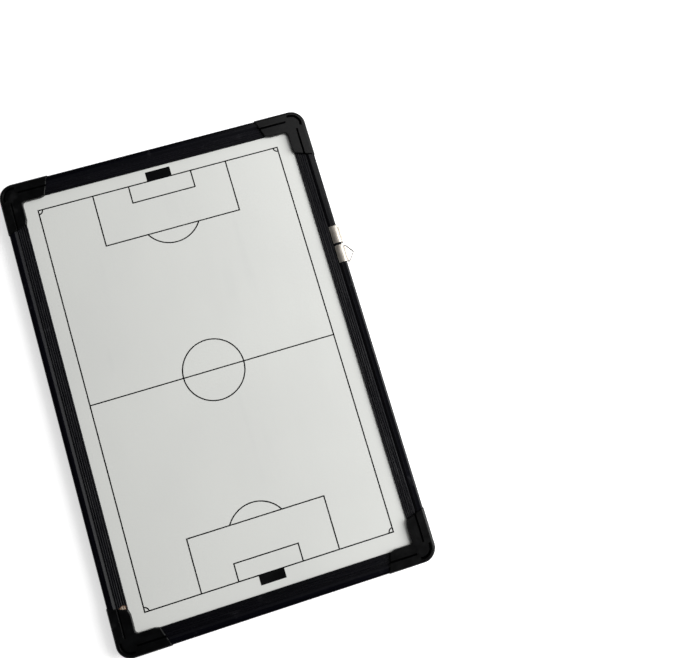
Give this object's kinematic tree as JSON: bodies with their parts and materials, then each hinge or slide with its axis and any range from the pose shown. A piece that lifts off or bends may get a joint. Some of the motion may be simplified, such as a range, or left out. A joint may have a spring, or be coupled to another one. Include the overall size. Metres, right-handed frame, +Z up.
{
  "type": "tactics board",
  "caption": "Framed white dry-wipe board printed with a football pitch, with moulded corner caps and sliding hanger clips with wire rings.",
  "frame": {"origin": "middle of the frame, on the plane through the backs of the four corners, where the board lies", "axes": "+X across the board to its right, +Y along it to its far end, +Z up out of the printed face"},
  "size_m": [0.3099, 0.4504, 0.0172],
  "materials": {
    "white_sheet": "gloss lacquer",
    "core": "raw fibreboard",
    "ink": "printed ink film",
    "rail": "black anodised, satin",
    "corner": "satin moulding",
    "screw": "black zinc",
    "bright_steel": "bright nickel plate"
  },
  "bodies": {
    "board": {"front_sheet": "white_sheet", "core_board": "core", "back_sheet": "white_sheet", "pitch_print": "ink", "rail_left": "rail", "rail_right": "rail", "rail_top": "rail", "rail_bottom": "rail", "corner_bottom_left": "corner", "corner_bottom_right": "corner", "corner_top_left": "corner", "corner_top_right": "corner", "screw_bottom_left_end": "screw", "screw_bottom_left_side": "screw", "screw_bottom_right_end": "screw", "screw_bottom_right_side": "screw", "screw_top_left_end": "screw", "screw_top_left_side": "screw", "screw_top_right_end": "screw", "screw_top_right_side": "screw"},
    "clip_upper": {"hanger_clip_upper": "bright_steel"},
    "ring_upper": {"hanger_ring_upper": "bright_steel"},
    "clip_lower": {"hanger_clip_lower": "bright_steel"},
    "ring_lower": {"hanger_ring_lower": "bright_steel"}
  },
  "joints": [
    {"name": "upper_clip_slide", "type": "slide", "parent": "board", "child": "clip_upper", "axis": [0, 1, 0], "range_m": [-0.0007, 0.073]},
    {"name": "upper_ring_swing", "type": "hinge", "parent": "clip_upper", "child": "ring_upper", "pos_m": [0.15147, 0.0945, 0.0086], "axis": [0, -1, 0], "range_deg": [-2.5, 182.5]},
    {"name": "lower_clip_slide", "type": "slide", "parent": "board", "child": "clip_lower", "axis": [0, 1, 0], "range_m": [-0.2425, 0.0007]},
    {"name": "lower_ring_swing", "type": "hinge", "parent": "clip_lower", "child": "ring_lower", "pos_m": [0.15147, 0.075, 0.0086], "axis": [0, -1, 0], "range_deg": [-84.5, 100.5]}
  ]
}
